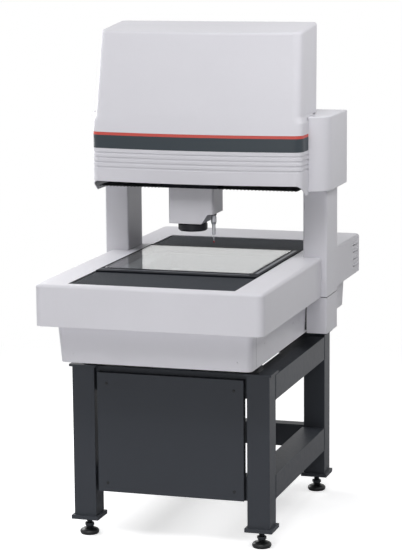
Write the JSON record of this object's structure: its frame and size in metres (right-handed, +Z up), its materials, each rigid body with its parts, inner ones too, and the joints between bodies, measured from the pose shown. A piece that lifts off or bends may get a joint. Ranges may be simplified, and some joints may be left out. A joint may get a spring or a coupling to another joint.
{
  "type": "vision measuring machine",
  "caption": "Bridge-type vision measuring machine on a steel stand: glass stage moving in Y, head with lens, ring light and touch probe moving in X and Z.",
  "frame": {"origin": "on the floor, under the middle of the whole machine's footprint", "axes": "+X to the operator's right, +Y to the rear, +Z up"},
  "size_m": [0.89, 1.407, 1.776],
  "materials": {
    "cover_paint": "light grey baked paint, fine texture",
    "stand_paint": "dark grey powder coat",
    "granite": "ground granite",
    "band": "dark grey film with a red upper edge",
    "bellows": "coated cloth, pleated",
    "stage_black": "black anodised",
    "glass": "clear float glass",
    "rail_steel": "ground steel",
    "alloy": "machined",
    "motor_black": "black paint",
    "mount_rubber": "black rubber",
    "foot_iron": "black oxide",
    "foot_steel": "dark zinc plated",
    "cast_iron": "painted casting",
    "ring_black": "black, LED windows below",
    "lens_black": "black anodised",
    "probe_grey": "satin steel",
    "scale_gold": "graduated steel tape"
  },
  "bodies": {
    "machine_frame": {"stand_legs": "stand_paint", "stand_side_rails": "stand_paint", "stand_cross_rails": "stand_paint", "stand_front_panel": "stand_paint", "isolation_mounts": "mount_rubber", "granite_base": "granite", "bridge_columns": "granite", "bridge_beam": "granite", "table_cover": "cover_paint", "skirt_front": "cover_paint", "skirt_left": "cover_paint", "skirt_right": "cover_paint", "skirt_rear": "cover_paint", "column_base_cover_left": "cover_paint", "column_base_cover_right": "cover_paint", "column_cover_left": "cover_paint", "column_cover_right": "cover_paint", "bridge_end_cover_left": "cover_paint", "bridge_end_cover_right": "cover_paint", "bridge_rear_cover": "cover_paint", "head_cover": "cover_paint", "head_band": "band", "y_rails": "rail_steel", "x_rails": "rail_steel", "screw_bearing_blocks": "cast_iron", "axis_motors": "motor_black", "linear_scales": "scale_gold", "substage_light": "alloy", "bellows_front": "bellows", "bellows_rear": "bellows", "x_bellows_left": "bellows", "x_bellows_right": "bellows"},
    "stage": {"stage_table": "cast_iron", "stage_frame": "stage_black", "stage_glass": "glass", "stage_guide_blocks": "rail_steel"},
    "y_screw": {"y_ball_screw": "rail_steel"},
    "x_carriage": {"carriage_plate": "alloy", "carriage_guide_blocks": "rail_steel", "z_rails": "rail_steel", "z_motor": "motor_black", "head_apron": "stage_black"},
    "x_screw": {"x_ball_screw": "rail_steel"},
    "z_head": {"z_slide": "alloy", "optics_housing": "cover_paint", "camera": "lens_black", "lens_tube": "lens_black", "ring_light": "ring_black", "probe_body": "probe_grey"},
    "z_screw": {"z_ball_screw": "rail_steel"},
    "stylus_mount": {"stylus_gimbal": "probe_grey"},
    "stylus": {"stylus": "probe_grey"},
    "foot_front_left": {"foot_pad_front_left": "foot_iron"},
    "foot_screw_front_left": {"foot_stud_front_left": "foot_steel"},
    "foot_front_right": {"foot_pad_front_right": "foot_iron"},
    "foot_screw_front_right": {"foot_stud_front_right": "foot_steel"},
    "foot_rear_left": {"foot_pad_rear_left": "foot_iron"},
    "foot_screw_rear_left": {"foot_stud_rear_left": "foot_steel"},
    "foot_rear_right": {"foot_pad_rear_right": "foot_iron"},
    "foot_screw_rear_right": {"foot_stud_rear_right": "foot_steel"}
  },
  "joints": [
    {"name": "stage_travel", "type": "slide", "parent": "machine_frame", "child": "stage", "axis": [0, 1, 0], "range_m": [-0.192, 0.208], "deforming": ["bellows_front", "bellows_rear"]},
    {"name": "y_screw_turn", "type": "hinge", "parent": "machine_frame", "child": "y_screw", "pos_m": [0.29, -0.07, 0.823], "axis": [0, 1, 0], "range_deg": [-3800, 3800]},
    {"name": "carriage_travel", "type": "slide", "parent": "machine_frame", "child": "x_carriage", "axis": [1, 0, 0], "range_m": [-0.182, 0.218], "deforming": ["x_bellows_left", "x_bellows_right"]},
    {"name": "x_screw_turn", "type": "hinge", "parent": "machine_frame", "child": "x_screw", "pos_m": [-0.015, 0.0725, 1.325], "axis": [1, 0, 0], "range_deg": [-4000, 4000]},
    {"name": "head_travel", "type": "slide", "parent": "x_carriage", "child": "z_head", "axis": [0, 0, 1], "range_m": [-0.055, 0.195]},
    {"name": "z_screw_turn", "type": "hinge", "parent": "x_carriage", "child": "z_screw", "pos_m": [-0.028, 0.0205, 1.43], "axis": [0, 0, 1], "range_deg": [-2200, 7200]},
    {"name": "stylus_tilt_x", "type": "hinge", "parent": "z_head", "child": "stylus_mount", "pos_m": [0.046, -0.084, 1.0355], "axis": [1, 0, 0], "range_deg": [-10, 10], "stiffness_Nm_per_rad": 0.02},
    {"name": "stylus_tilt_y", "type": "hinge", "parent": "stylus_mount", "child": "stylus", "pos_m": [0.046, -0.084, 1.0355], "axis": [0, 1, 0], "range_deg": [-10, 10], "stiffness_Nm_per_rad": 0.02},
    {"name": "foot_height_front_left", "type": "slide", "parent": "machine_frame", "child": "foot_front_left", "axis": [0, 0, 1], "range_m": [-0.015, 0.01]},
    {"name": "foot_screw_front_left", "type": "hinge", "parent": "foot_front_left", "child": "foot_screw_front_left", "pos_m": [-0.316, -0.4285, 0.03], "axis": [0, 0, 1], "range_deg": [-2200, 1500]},
    {"name": "foot_height_front_right", "type": "slide", "parent": "machine_frame", "child": "foot_front_right", "axis": [0, 0, 1], "range_m": [-0.015, 0.01]},
    {"name": "foot_screw_front_right", "type": "hinge", "parent": "foot_front_right", "child": "foot_screw_front_right", "pos_m": [0.316, -0.4285, 0.03], "axis": [0, 0, 1], "range_deg": [-2200, 1500]},
    {"name": "foot_height_rear_left", "type": "slide", "parent": "machine_frame", "child": "foot_rear_left", "axis": [0, 0, 1], "range_m": [-0.015, 0.01]},
    {"name": "foot_screw_rear_left", "type": "hinge", "parent": "foot_rear_left", "child": "foot_screw_rear_left", "pos_m": [-0.316, 0.3475, 0.03], "axis": [0, 0, 1], "range_deg": [-2200, 1500]},
    {"name": "foot_height_rear_right", "type": "slide", "parent": "machine_frame", "child": "foot_rear_right", "axis": [0, 0, 1], "range_m": [-0.015, 0.01]},
    {"name": "foot_screw_rear_right", "type": "hinge", "parent": "foot_rear_right", "child": "foot_screw_rear_right", "pos_m": [0.316, 0.3475, 0.03], "axis": [0, 0, 1], "range_deg": [-2200, 1500]}
  ],
  "couplings": [
    {"joint": "y_screw_turn", "follows": "stage_travel", "rad_per_m": 314.16},
    {"joint": "x_screw_turn", "follows": "carriage_travel", "rad_per_m": 314.16},
    {"joint": "z_screw_turn", "follows": "head_travel", "rad_per_m": 628.32},
    {"joint": "foot_screw_front_left", "follows": "foot_height_front_left", "rad_per_m": 2513.3},
    {"joint": "foot_screw_front_right", "follows": "foot_height_front_right", "rad_per_m": 2513.3},
    {"joint": "foot_screw_rear_left", "follows": "foot_height_rear_left", "rad_per_m": 2513.3},
    {"joint": "foot_screw_rear_right", "follows": "foot_height_rear_right", "rad_per_m": 2513.3}
  ]
}
